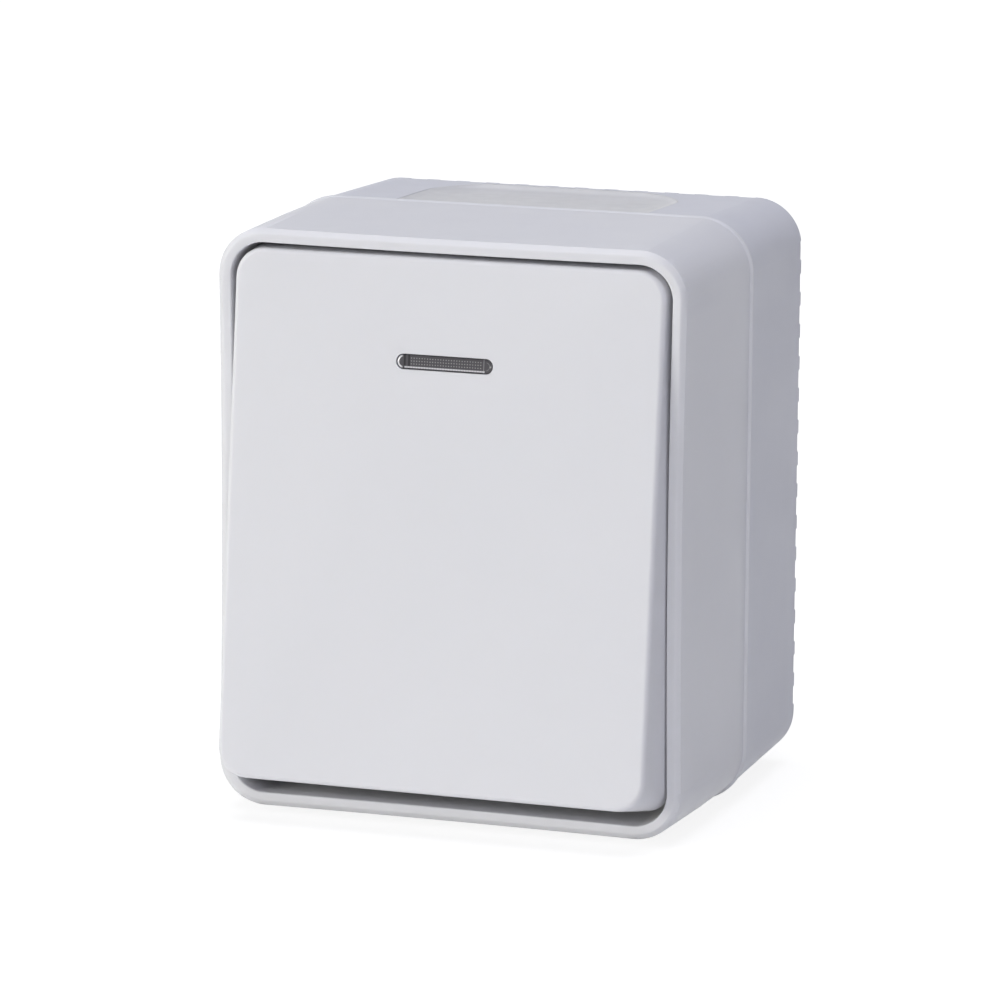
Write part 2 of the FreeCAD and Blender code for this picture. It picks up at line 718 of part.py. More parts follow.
def make_terminal_clamps():
    """Three brass cages that pull a wire against the rail's tail."""
    start = depth(cage_depth)
    end = depth(base_floor_depth - cage_end_gap)
    inner = cage_inner + cage_wall - 0.05
    cage = box(-cage_half_width, cage_half_width, start, end, cage_inner, cage_outer)
    half = rail_width / 2 + 0.1
    window = box(-half, half, start - 1, end + 1, inner, cage_outer - cage_screw_wall)
    at_screw = Vector(0, depth(terminal_screw_depth()), 0)
    hole = rod(terminal_screw_radius + screw_clearance, at_screw + along_z * (cage_outer - cage_screw_wall - 0.5),
               at_screw + along_z * (cage_outer + 1))
    cage = cage.cut(window).cut(hole)
    return group([turned_to(way, cage) for way in (along_z, -along_z, along_x)])


def make_terminal_screws():
    """Three clamp screws, each reached through a hole in the tub's wall."""
    at_screw = Vector(0, depth(terminal_screw_depth()), 0)
    inner_half = base_half - base_wall
    head_start = at_screw + along_z * (inner_half + 0.1)
    head = rod(terminal_head_radius, head_start, head_start + along_z * terminal_head_height)
    tip = at_screw + along_z * (cage_outer - cage_screw_wall - 0.4)
    shank = rod(terminal_screw_radius, tip, head_start + along_z * 0.5)
    face = head_start + along_z * terminal_head_height
    slot = box(-terminal_head_radius - 1, terminal_head_radius + 1, face.y - screw_recess_width / 2,
               face.y + screw_recess_width / 2, face.z - screw_recess_depth, face.z + 1)
    screw = joined([head, shank]).cut(slot)
    return group([turned_to(way, screw) for way in (along_z, -along_z, along_x)])


def tilted(shape, pivot_plane, degrees):
    """A shape drawn in its neutral place, turned about a cross axis at a depth."""
    turned = shape.copy()
    turned.rotate(Vector(0, depth(pivot_plane), 0), along_x, degrees)
    return turned


def make_rocker_key():
    """Rocker key: a drafted cap with a window, seat ribs, clips, stiffening ribs and a fork for the light guide."""
    half_x = key_width / 2
    half_z = key_length / 2
    start = depth(key_face_depth)
    end = start + key_skirt_depth
    cap = tapered_block([(half_x, half_z, key_corner_radius, start),
                         (half_x + key_draft, half_z + key_draft, key_corner_radius + key_draft, end)])
    cap = cap.makeFillet(key_edge_radius, edges_in_plane(cap, start, half_x + 1, half_z + 1))
    inside_x = half_x - key_side_wall
    inside_z = half_z - key_side_wall
    inside_radius = key_corner_radius - key_side_wall
    hollow = tapered_block([(inside_x, inside_z, inside_radius, depth(key_inner_depth)),
                            (inside_x + key_draft, inside_z + key_draft, inside_radius + key_draft, end + 0.5)])
    parts = [cap.cut(hollow)]
    inner = depth(key_inner_depth)
    root = inner - 0.5
    rib = key_rib_thickness / 2
    for sign in (1, -1):
        x = sign * key_seat_rib_x
        parts.append(box(x - rib, x + rib, root, depth(actuator_depth), -actuator_half_height + 1,
                         actuator_half_height - 1))
        x = sign * (key_seat_rib_x + inside_x) / 2
        parts.append(box(x - rib, x + rib, root, inner + key_rib_height, -inside_z - 0.5, inside_z + 0.5))
        z = sign * (actuator_half_height + 2)
        run = window_z() - window_height / 2 - lens_flange - 1
        z = sign * min(z + 1.5, run)
        parts.append(box(-inside_x - 0.5, inside_x + 0.5, root, inner + key_rib_height, z - rib, z + rib))
        parts.append(guide_fork(sign))
    parts.extend(key_clip(x, z) for x, z in four_corners(key_clip_x, key_clip_z))
    body = joined(parts)
    opening = slot_block(window_length / 2, window_height / 2, 0, window_z(), start - 1, inner + 0.01, False)
    return tilted(body.cut(opening), pivot_depth, -rocker_half_tilt)


def window_z():
    """Height of the indicator window above the key's middle."""
    return key_length / 2 - window_from_edge


def guide_fork(sign):
    """One cheek that holds the light guide beside the window."""
    near = sign * (guide_width / 2 + 0.15)
    inner = depth(key_inner_depth)
    half = guide_thickness / 2
    z = window_z()
    start = inner + lens_flange_thickness + 0.1
    cheek = box(near, near + sign * guide_fork_wall, start, inner + guide_fork_length + 0.8, z - half, z + half)
    foot_x = sign * (window_length / 2 + lens_flange + 0.3)
    foot = box(foot_x, foot_x + sign * guide_fork_wall, inner - 0.5, inner + guide_fork_length + 0.8,
               z - half, z + half)
    bridge = box(near, foot_x + sign * guide_fork_wall, start, inner + lens_flange_thickness + 1.1, z - half, z + half)
    return joined([cheek, foot, bridge])


def key_clip(x, z):
    """A snap arm that passes through the actuator's plate and hooks behind it."""
    inner = depth(key_inner_depth)
    behind = depth(actuator_depth + actuator_plate + key_clip_clearance)
    half_w = key_clip_width / 2
    half_t = key_clip_thickness / 2
    out = math.copysign(1, z)
    arm = box(x - half_w, x + half_w, inner - 0.5, behind + 1.2, z - half_t, z + half_t)
    edge = z + out * half_t
    points = [Vector(x - half_w, behind, edge - out * 0.1), Vector(x - half_w, behind, edge + out * key_clip_hook),
              Vector(x - half_w, behind + 1.2, edge - out * 0.1)]
    hook = Part.Face(Part.makePolygon(points + points[:1])).extrude(Vector(key_clip_width, 0, 0))
    return joined([arm, hook])


def make_indicator_lens():
    """Clear window: a round-ended bar in the key's face with a flange behind it."""
    z = window_z()
    front = depth(key_face_depth) + lens_recess
    inner = depth(key_inner_depth)
    bar = slot_block(window_length / 2 - window_clearance, window_height / 2 - window_clearance, 0, z,
                     front, inner + 0.4, False)
    flange = slot_block(window_length / 2 + lens_flange, window_height / 2 + lens_flange, 0, z,
                        inner, inner + lens_flange_thickness, False)
    return tilted(joined([bar, flange]), pivot_depth, -rocker_half_tilt)


def make_light_guide():
    """Clear bar that leans from the lens down to the lamp, wide in front and narrow at its end."""
    front_depth = key_inner_depth + lens_flange_thickness
    z = window_z()
    knee = front_depth + guide_fork_length
    loops = []
    for width, thickness, place_z, place_depth in ((guide_width, guide_thickness, z, front_depth),
                                                   (guide_width, guide_thickness, z, knee),
                                                   (guide_end_width, guide_end_thickness, guide_end_z,
                                                    guide_end_depth)):
        half_w = width / 2
        half_t = thickness / 2
        y = depth(place_depth)
        points = [Vector(-half_w, y, place_z - half_t), Vector(half_w, y, place_z - half_t),
                  Vector(half_w, y, place_z + half_t), Vector(-half_w, y, place_z + half_t)]
        loops.append(Part.makePolygon(points + points[:1]))
    return tilted(Part.makeLoft(loops, True, True), pivot_depth, -rocker_half_tilt)


def make_actuator():
    """Cradle that carries the key: plate, two cheeks with trunnions and the tube of the plunger."""
    front = depth(actuator_depth)
    rear = front + actuator_plate
    plate = rounded_block(actuator_half_width, actuator_half_height, 2.0, front, rear)
    cuts = []
    for x, z in four_corners(key_clip_x, key_clip_z):
        half_w = key_clip_width / 2 + key_clip_clearance
        half_t = key_clip_thickness / 2 + key_clip_clearance
        cuts.append(box(x - half_w, x + half_w, front - 1, rear + 1, z - half_t, z + half_t))
    parts = [plate.cut(group(cuts)), pin_y(tube_radius, 0, 0, actuator_depth + 1, tube_end_depth)]
    for sign in (1, -1):
        near = sign * (actuator_half_width - cheek_thickness)
        far = sign * actuator_half_width
        pivot = depth(pivot_depth)
        cheek = box(near, far, rear - 0.5, pivot, -cheek_half_height, cheek_half_height)
        parts.append(cheek)
        parts.append(rod(trunnion_radius + 1, Vector(near, pivot, 0), Vector(far, pivot, 0)))
        parts.append(rod(trunnion_radius, Vector(near, pivot, 0), Vector(far + sign * trunnion_length, pivot, 0)))
    for half in (cheek_half_height - 0.6, -cheek_half_height + 0.6):
        parts.append(box(-actuator_half_width + 1, actuator_half_width - 1, rear - 0.5, rear + 2.4,
                         half - 0.6, half + 0.6))
    body = joined(parts)
    bore = pin_y(plunger_radius + plunger_clearance, 0, 0, actuator_depth + actuator_plate, tube_end_depth + 1)
    return tilted(body.cut(bore), pivot_depth, -rocker_half_tilt)


def make_plunger():
    """Sprung pin with a round nose that pushes the contact over."""
    shank = pin_y(plunger_radius, 0, 0, plunger_rear_depth, tube_end_depth - 1)
    nose_centre = plunger_tip_depth - plunger_nose_radius
    nose = pin_y(plunger_nose_radius, 0, 0, tube_end_depth - 1.5, nose_centre)
    ball = Part.makeSphere(plunger_nose_radius, Vector(0, depth(nose_centre), 0))
    return tilted(joined([shank, nose, ball]), pivot_depth, -rocker_half_tilt)


def make_plunger_spring():
    """Compression spring between the tube's closed end and the plunger, with a six-sided wire."""
    start = actuator_depth + actuator_plate + spring_wire
    end = plunger_rear_depth - spring_wire
    radius = plunger_radius - spring_wire - 0.15
    helix = Part.makeHelix((end - start) / spring_turns, end - start, radius)
    corners = [Vector(radius + spring_wire * math.cos(step * math.pi / 3), 0, spring_wire * math.sin(step * math.pi / 3))
               for step in range(7)]
    section = Part.makePolygon(corners)
    coil = Part.Wire(helix.Edges).makePipeShell([section], True, True)
    coil.rotate(Vector(0, 0, 0), along_x, -90)
    coil.translate(Vector(0, depth(start), 0))
    return tilted(coil, pivot_depth, -rocker_half_tilt)


def make_contact_rocker():
    """Changeover contact: a strip with a rolled pin that tilts in the bracket's ears."""
    half = contact_strip_width / 2
    pivot = depth(contact_pivot_depth)
    reach = contact_arm + moving_rivet_radius + 0.3
    strip = box(-half, half, pivot - contact_strip_thickness, pivot, -reach, reach)
    pin_end = half + bracket_gap + bracket_thickness
    pin = rod(contact_pin_radius, Vector(-pin_end, pivot, 0), Vector(pin_end, pivot, 0))
    body = joined([strip, pin])
    trim = box(-pin_end - 1, pin_end + 1, pivot - 5, pivot - contact_strip_thickness, -reach, reach)
    holes = [pin_y(rivet_shank_radius + rivet_shank_clearance, 0, z, contact_pivot_depth - 2, contact_pivot_depth + 1)
             for z in (contact_arm, -contact_arm)]
    return tilted(body.cut(trim).cut(group(holes)), contact_pivot_depth, contact_half_tilt)


def make_moving_rivets():
    """Silver rivets at both ends of the changeover contact."""
    rivets = []
    for z in (contact_arm, -contact_arm):
        base = Vector(0, depth(contact_pivot_depth), z)
        rivets.append(contact_rivet(moving_rivet_radius, moving_rivet_height, contact_strip_thickness, base, along_y))
    return tilted(group(rivets), contact_pivot_depth, contact_half_tilt)


def make_lamp_holder():
    """Socket on the bearing frame that holds the lamp."""
    body = box(-lamp_holder_half_width, lamp_holder_half_width, depth(lamp_holder_front), depth(flange_depth),
               lamp_z - lamp_holder_half_height, lamp_z + lamp_holder_half_height)
    cuts = [pin_y(lamp_radius + lamp_clearance, 0, lamp_z, lamp_holder_front - 1, lamp_base_depth)]
    for sign in (1, -1):
        cuts.append(pin_y(lead_hole_radius, sign * lead_half_spacing, lamp_z, lamp_base_depth - 1, flange_depth + 1))
    return body.cut(group(cuts))


def make_indicator_lamp():
    """Small lamp with a round tip."""
    centre = lamp_tip_depth + lamp_radius
    tube = pin_y(lamp_radius, 0, lamp_z, centre, lamp_base_depth)
    return joined([tube, Part.makeSphere(lamp_radius, Vector(0, depth(centre), lamp_z))])


def make_lamp_resistor():
    """Series resistor behind the bearing frame: a slim body with a wider cap at each end."""
    start = Vector(resistor_start_x, depth(resistor_depth), lamp_z)
    cap = along_x * resistor_cap_length
    end = start + along_x * resistor_length
    return joined([rod(resistor_radius * 0.85, start, end), rod(resistor_radius, start, start + cap),
                   rod(resistor_radius, end - cap, end)])


def bent_wire(points):
    """Eight-sided wire swept along straight runs with mitred corners."""
    path = Part.makePolygon(points)
    run = (points[1] - points[0]).normalize()
    across = along_x if abs(run.x) < 0.5 else along_z
    second = run.cross(across)
    ring = []
    for step in range(9):
        turn = step * math.pi / 4
        ring.append(points[0] + across * (lead_radius * math.cos(turn)) + second * (lead_radius * math.sin(turn)))
    sweep = Part.BRepOffsetAPI.MakePipeShell(path)
    sweep.setTransitionMode(1)
    sweep.add(Part.makePolygon(ring))
    sweep.build()
    sweep.makeSolid()
    return sweep.shape()


def make_lamp_leads():
    """Three leads: lamp to the upper rail, lamp to resistor, and resistor to the common rail."""
    base = depth(lamp_base_depth)
    level = depth(resistor_depth)
    rail = depth(rail_depth)
    left = -lead_half_spacing
    right = lead_half_spacing
    rail_z = cage_inner + cage_wall - 0.5
    first = bent_wire([Vector(left, base, lamp_z), Vector(left, level, lamp_z), Vector(left, level, rail_z),
                       Vector(left, rail, rail_z)])
    second = bent_wire([Vector(right, base, lamp_z), Vector(right, level, lamp_z),
                        Vector(resistor_start_x, level, lamp_z)])
    far = resistor_start_x + resistor_length
    turn_x = cage_inner - 0.4
    third = bent_wire([Vector(far, level, lamp_z), Vector(turn_x, level, lamp_z), Vector(turn_x, level, 0),
                       Vector(turn_x, rail, 0)])
    return group([first, second, third])


sub_parts = {
    "rear_box": make_rear_box,
    "top_cable_seal": lambda: make_cable_seal(1),
    "bottom_cable_seal": lambda: make_cable_seal(-1),
    "cover_frame": make_cover_frame,
    "frame_gasket": make_frame_gasket,
    "cover_screws": make_cover_screws,
    "mechanism_seal": make_mechanism_seal,
    "mechanism_cover": make_mechanism_cover,
    "mechanism_screws": make_mechanism_screws,
    "mechanism_base": make_mechanism_base,
    "upper_fixed_contact": lambda: make_fixed_contact(along_z),
    "lower_fixed_contact": lambda: make_fixed_contact(-along_z),
    "common_contact": make_common_contact,
    "fixed_contact_rivets": make_fixed_rivets,
    "terminal_clamps": make_terminal_clamps,
    "terminal_screws": make_terminal_screws,
    "lamp_holder": make_lamp_holder,
    "indicator_lamp": make_indicator_lamp,
    "lamp_resistor": make_lamp_resistor,
    "lamp_leads": make_lamp_leads,
    "rocker_key": make_rocker_key,
    "indicator_lens": make_indicator_lens,
    "light_guide": make_light_guide,
    "actuator": make_actuator,
    "plunger": make_plunger,
    "plunger_spring": make_plunger_spring,
    "contact_rocker": make_contact_rocker,
    "moving_contact_rivets": make_moving_rivets,
}

os.makedirs("parts", exist_ok=True)
for node, make in sub_parts.items():
    shape = make()
    shape.exportStep("parts/" + node + ".step")
    print(node, len(shape.Solids), shape.isValid(), round(shape.Volume, 2))
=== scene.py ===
import json
import math

import bmesh
import bpy
import numpy as np
from mathutils import Matrix, Vector


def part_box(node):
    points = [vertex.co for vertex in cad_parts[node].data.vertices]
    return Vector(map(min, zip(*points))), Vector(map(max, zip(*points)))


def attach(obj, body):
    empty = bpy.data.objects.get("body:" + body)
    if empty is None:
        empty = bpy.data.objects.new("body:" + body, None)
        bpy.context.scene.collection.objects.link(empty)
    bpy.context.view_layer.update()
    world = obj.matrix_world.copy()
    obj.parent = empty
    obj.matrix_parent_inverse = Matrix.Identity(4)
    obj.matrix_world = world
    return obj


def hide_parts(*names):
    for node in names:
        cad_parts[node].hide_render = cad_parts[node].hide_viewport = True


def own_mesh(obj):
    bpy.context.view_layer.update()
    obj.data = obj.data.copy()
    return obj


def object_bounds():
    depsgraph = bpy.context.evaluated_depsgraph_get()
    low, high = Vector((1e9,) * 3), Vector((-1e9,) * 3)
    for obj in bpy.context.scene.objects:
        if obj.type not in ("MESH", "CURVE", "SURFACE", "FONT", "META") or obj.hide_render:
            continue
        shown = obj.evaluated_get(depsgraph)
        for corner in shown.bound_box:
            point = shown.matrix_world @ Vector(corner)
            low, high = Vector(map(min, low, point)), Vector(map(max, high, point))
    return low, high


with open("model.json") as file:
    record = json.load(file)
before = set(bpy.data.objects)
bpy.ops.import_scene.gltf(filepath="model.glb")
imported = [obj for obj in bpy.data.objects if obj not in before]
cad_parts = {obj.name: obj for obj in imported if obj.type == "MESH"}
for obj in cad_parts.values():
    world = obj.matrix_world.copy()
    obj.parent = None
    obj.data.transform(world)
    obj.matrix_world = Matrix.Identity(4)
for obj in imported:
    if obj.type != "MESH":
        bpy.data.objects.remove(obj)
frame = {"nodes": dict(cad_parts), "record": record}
cadLow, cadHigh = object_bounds()
nodes = frame["nodes"]
mm = 0.001
print("frame loaded:", len(nodes), "pieces")

# Where the camera stood, worked out from the straight edges of the case.
view = dict(
    azimuth=19.216, elevation=11.138, roll=0.412,  # degrees
    distance=0.78918, focalPixels=5914.26, framePixels=1000, sensor=36.0, clip=(0.01, 20),
    lookAt=(0.002476, -0.03894, 0.002192),
)


def makeCamera(s):
    az, el, roll = (math.radians(s[k]) for k in ("azimuth", "elevation", "roll"))
    back = Vector((math.sin(az) * math.cos(el), -math.cos(az) * math.cos(el), math.sin(el)))
    right = Vector((math.cos(az), math.sin(az), 0))
    up = back.cross(right)
    turnedRight = right * math.cos(roll) + up * math.sin(roll)
    turnedUp = up * math.cos(roll) - right * math.sin(roll)
    data = bpy.data.cameras.new("camera")
    data.sensor_width = s["sensor"]
    data.lens = s["sensor"] * s["focalPixels"] / s["framePixels"]
    data.clip_start, data.clip_end = s["clip"]
    camera = bpy.data.objects.new("camera", data)
    bpy.context.scene.collection.objects.link(camera)
    turn = Matrix((turnedRight, turnedUp, back)).transposed().to_4x4()
    camera.matrix_world = Matrix.Translation(Vector(s["lookAt"]) + back * s["distance"]) @ turn
    bpy.context.scene.camera = camera


makeCamera(view)

# Studio: a key lamp from the left, two softer ones from the right, one above and a faint strip low in front.
# The room itself gives almost no light, and looks white where it is seen.
studio = dict(
    world=0.01, worldTint=(0.91, 0.945, 1.0), worldSeen=1.0,
    lamps=(
        # name, degrees round from the front, degrees up, distance, width, height, power in watts, tint
        ("keyLamp", -54, 6, 3.2, 1.9, 1.0, 71.0, (1.0, 1.0, 0.93)),
        ("fillLamp", 28, 10, 0.9, 0.38, 0.3, 0.95, (0.89, 0.89, 1.0)),
        ("sideLamp", 78, 10, 1.2, 0.5, 0.4, 1.1, (0.86, 0.87, 1.0)),
        ("topLamp", 10, 86, 1.5, 1.1, 1.1, 17.0, (0.905, 0.92, 1.0)),
        ("lowLamp", 8, 2, 1.2, 0.5, 0.08, 1.8, (1.0, 0.99, 0.9)),
    ),
    aim=(0, -0.03, 0),
    floorBounce=0.8, floorSeen=0.25, floorRough=0.9, floorSize=6.0, floorGap=0.02 * mm,
    # floorGlow is the glow close to the object, lowered there as painted shade, then the glow far off
    floorGlow=(0.86, 0.97), paintedShadeSpan=(0.03, 0.09),
)


# One for rays from the camera, off gloss or through glass, which see the white background; nought for others.
def addSeen(tree):
    path = tree.nodes.new("ShaderNodeLightPath")
    seen = path.outputs["Is Camera Ray"]
    for ray in ("Is Glossy Ray", "Is Transmission Ray"):
        either = tree.nodes.new("ShaderNodeMath")
        either.operation = "MAXIMUM"
        tree.links.new(seen, either.inputs[0])
        tree.links.new(path.outputs[ray], either.inputs[1])
        seen = either.outputs[0]
    return seen


def makeRoom(s):
    world = bpy.data.worlds.new("studio")
    bpy.context.scene.world = world
    world.use_nodes = True
    tree = world.node_tree
    tree.nodes.clear()
    seen = addSeen(tree)
    room = tree.nodes.new("ShaderNodeBackground")
    room.inputs["Color"].default_value = (*s["worldTint"], 1)
    room.inputs["Strength"].default_value = s["world"]
    white = tree.nodes.new("ShaderNodeBackground")
    white.inputs["Strength"].default_value = s["worldSeen"]
    mix = tree.nodes.new("ShaderNodeMixShader")
    out = tree.nodes.new("ShaderNodeOutputWorld")
    tree.links.new(seen, mix.inputs[0])
    tree.links.new(room.outputs[0], mix.inputs[1])
    tree.links.new(white.outputs[0], mix.inputs[2])
    tree.links.new(mix.outputs[0], out.inputs["Surface"])


def makeLamps(s):
    for name, around, up, distance, width, height, power, tint in s["lamps"]:
        data = bpy.data.lights.new(name, "AREA")
        data.shape = "RECTANGLE"
        data.size, data.size_y, data.energy, data.color = width, height, power, tint
        lamp = bpy.data.objects.new(name, data)
        bpy.context.scene.collection.objects.link(lamp)
        az, el = math.radians(around), math.radians(up)
        away = Vector((math.sin(az) * math.cos(el), -math.cos(az) * math.cos(el), math.sin(el))) * distance
        turn = away.to_track_quat("Z", "Y").to_matrix().to_4x4()
        lamp.matrix_world = Matrix.Translation(Vector(s["aim"]) + away) @ turn


def newMaterial(name):
    material = bpy.data.materials.new(name)
    material.use_nodes = True
    tree = material.node_tree
    place = tree.nodes.new("ShaderNodeTexCoord")
    return material, tree, tree.nodes["Principled BSDF"], place.outputs["Object"]


# A value spread from one span to another; ends are the first span's two and the second's two.
def addMap(tree, value, ends, way="LINEAR"):
    spread = tree.nodes.new("ShaderNodeMapRange")
    spread.interpolation_type = way
    for socket, end in zip(("From Min", "From Max", "To Min", "To Max"), ends):
        spread.inputs[socket].default_value = end
    tree.links.new(value, spread.inputs["Value"])
    return spread.outputs["Result"]


# Two colours mixed by a factor; the first may be a value from the tree.
def addMix(tree, factor, first, second):
    mix = tree.nodes.new("ShaderNodeMix")
    mix.data_type = "RGBA"
    tree.links.new(factor, mix.inputs["Factor"])
    if isinstance(first, tuple):
        mix.inputs["A"].default_value = (*first, 1)
    else:
        tree.links.new(first, mix.inputs["A"])
    mix.inputs["B"].default_value = (*second, 1)
    return mix.outputs["Result"]


# The floor glows white where it is seen, a little less close to the object, which paints a shade round it on
# top of its faint real shadow.
def floorMaterial(s, bottom):
    material, tree, shader, place = newMaterial("paleFloor")
    shader.inputs["Roughness"].default_value = s["floorRough"]
    shader.inputs["Specular IOR Level"].default_value = 0.0
    shader.inputs["Emission Color"].default_value = (1, 1, 1, 1)
    away = tree.nodes.new("ShaderNodeVectorMath")
    away.operation = "DISTANCE"
    away.inputs[1].default_value = (0, s["aim"][1], bottom)
    tree.links.new(place, away.inputs[0])
    # The lower glow close to the object is painted shade; further off the floor is an even white.
    rise = addMap(tree, away.outputs["Value"], s["paintedShadeSpan"] + s["floorGlow"], "SMOOTHSTEP")
    seen = addSeen(tree)
    glow = tree.nodes.new("ShaderNodeMath")
    glow.operation = "MULTIPLY"
    tree.links.new(seen, glow.inputs[0])
    tree.links.new(rise, glow.inputs[1])
    tree.links.new(glow.outputs[0], shader.inputs["Emission Strength"])
    tone = addMix(tree, seen, (s["floorBounce"],) * 3, (s["floorSeen"],) * 3)
    tree.links.new(tone, shader.inputs["Base Color"])
    return material


def makeFloor(s):
    half = s["floorSize"] / 2
    bottom = cadLow.z - s["floorGap"]
    corners = [(x * half, y * half, bottom) for x, y in ((-1, -1), (1, -1), (1, 1), (-1, 1))]
    mesh = bpy.data.meshes.new("floor")
    mesh.from_pydata(corners, [], [(0, 1, 2, 3)])
    floor = bpy.data.objects.new("floor", mesh)
    bpy.context.scene.collection.objects.link(floor)
    mesh.materials.append(floorMaterial(s, bottom))


makeRoom(studio)
makeLamps(studio)
makeFloor(studio)
bpy.context.scene.view_settings.view_transform = "Standard"
print("camera, lamps and floor made")

noiseSpan = (0.3, 0.7)  # where most of a noise's values lie
softTint = (1.0, 0.95, 0.9)  # how far red, green and blue light spread inside the plastics, as shares


# Noise whose cells are about size metres wide.
def addNoise(tree, place, size, detail=3.0, rough=0.55):
    noise = tree.nodes.new("ShaderNodeTexNoise")
    noise.inputs["Scale"].default_value = 1 / size
    noise.inputs["Detail"].default_value = detail
    noise.inputs["Roughness"].default_value = rough
    tree.links.new(place, noise.inputs["Vector"])
    return noise.outputs["Fac"]


# Base colour that drifts between two tones over the given size.
def addDrift(tree, shader, place, size, tones):
    share = addMap(tree, addNoise(tree, place, size), noiseSpan + (0, 1))
    tree.links.new(addMix(tree, share, *tones), shader.inputs["Base Color"])


# Each layer is a height and its depth in metres; the last one is linked to the shader.
def addBump(tree, shader, layers):
    normal = None
    for height, depth in layers:
        bump = tree.nodes.new("ShaderNodeBump")
        bump.inputs["Strength"].default_value = 1.0
        bump.inputs["Distance"].default_value = depth
        tree.links.new(height, bump.inputs["Height"])
        if normal:
            tree.links.new(normal, bump.inputs["Normal"])
        normal = bump.outputs["Normal"]
    tree.links.new(normal, shader.inputs["Normal"])


# Moulded plastic: base colour drifts over centimetres, gloss over millimetres, spark grain as bump.
def mouldedPlastic(name, s):
    material, tree, shader, place = newMaterial(name)
    addDrift(tree, shader, place, s["driftSize"], (s["colour"], s["shade"]))
    gloss = addNoise(tree, place, s["glossSize"])
    tree.links.new(addMap(tree, gloss, noiseSpan + s["rough"]), shader.inputs["Roughness"])
    shader.inputs["IOR"].default_value = s["ior"]
    shader.inputs["Specular IOR Level"].default_value = s.get("shine", 0.5)
    grain = addNoise(tree, place, s["grainSize"], 2.0)
    flow = addNoise(tree, place, s["flowSize"], 1.0)
    addBump(tree, shader, [(flow, s["flowDepth"]), (grain, s["grainDepth"])])
    if s.get("soft"):
        shader.inputs["Subsurface Weight"].default_value = s["soft"]
        shader.inputs["Subsurface Radius"].default_value = softTint
        shader.inputs["Subsurface Scale"].default_value = s["softDepth"]
    return material


whitePlastic = dict(
    colour=(0.745, 0.743, 0.775), shade=(0.735, 0.735, 0.768), driftSize=30 * mm,
    soft=0.3, softDepth=0.9 * mm, rough=(0.34, 0.42), glossSize=6 * mm, ior=1.5, shine=0.22,
    grainSize=0.09 * mm, grainDepth=0.0015 * mm, flowSize=18 * mm, flowDepth=0.006 * mm,
)
keyPlastic = dict(whitePlastic, rough=(0.40, 0.48), grainSize=0.07 * mm, grainDepth=0.002 * mm)
boxPlastic = dict(whitePlastic, colour=(0.67, 0.674, 0.73), shade=(0.66, 0.665, 0.72), rough=(0.38, 0.46))
sealRubber = dict(
    colour=(0.675, 0.67, 0.682), shade=(0.65, 0.646, 0.656), driftSize=8 * mm, shine=0.4,
    rough=(0.30, 0.42), glossSize=2 * mm, ior=1.46, soft=0.6, softDepth=1.2 * mm,
    grainSize=0.12 * mm, grainDepth=0.002 * mm, flowSize=5 * mm, flowDepth=0.03 * mm,
)
darkRubber = dict(
    colour=(0.035, 0.036, 0.04), shade=(0.05, 0.05, 0.055), driftSize=5 * mm,
    rough=(0.55, 0.7), glossSize=1 * mm, ior=1.5,
    grainSize=0.1 * mm, grainDepth=0.004 * mm, flowSize=3 * mm, flowDepth=0.01 * mm,
)
paleInsulation = dict(whitePlastic, colour=(0.62, 0.62, 0.6), shade=(0.55, 0.55, 0.53), rough=(0.45, 0.6))
greyInsulation = dict(whitePlastic, colour=(0.085, 0.09, 0.1), shade=(0.065, 0.07, 0.08), rough=(0.45, 0.6))
actuatorPlastic = dict(whitePlastic, colour=(0.5, 0.5, 0.49), shade=(0.45, 0.45, 0.44), rough=(0.4, 0.55))
ivoryPlastic = dict(whitePlastic, colour=(0.76, 0.7, 0.56), shade=(0.72, 0.65, 0.5), rough=(0.3, 0.4))


# Drawn or plated metal: its tint drifts, and fine streaks along the rolling direction roughen it.
def rolledMetal(name, s):
    material, tree, shader, place = newMaterial(name)
    shader.inputs["Metallic"].default_value = 1.0
    stretch = tree.nodes.new("ShaderNodeMapping")
    stretch.inputs["Scale"].default_value = s["streak"]
    tree.links.new(place, stretch.inputs["Vector"])
    streaks = addNoise(tree, stretch.outputs["Vector"], s["grainSize"], 4.0)
    addDrift(tree, shader, place, s["stainSize"], (s["colour"], s["stain"]))
    tree.links.new(addMap(tree, streaks, noiseSpan + s["rough"]), shader.inputs["Roughness"])
    addBump(tree, shader, [(streaks, s["grainDepth"])])
    return material


steel = dict(colour=(0.62, 0.63, 0.66), stain=(0.5, 0.51, 0.53), stainSize=2 * mm, rough=(0.22, 0.4),
             streak=(1, 1, 1), grainSize=0.2 * mm, grainDepth=0.003 * mm)
copper = dict(steel, colour=(0.72, 0.36, 0.22), stain=(0.55, 0.27, 0.17), streak=(1, 4, 1))
silver = dict(steel, colour=(0.86, 0.85, 0.82), stain=(0.75, 0.73, 0.7), rough=(0.18, 0.3))
brass = dict(steel, colour=(0.75, 0.55, 0.24), stain=(0.62, 0.43, 0.18))
wire = dict(steel, colour=(0.7, 0.71, 0.72), stain=(0.6, 0.61, 0.62))


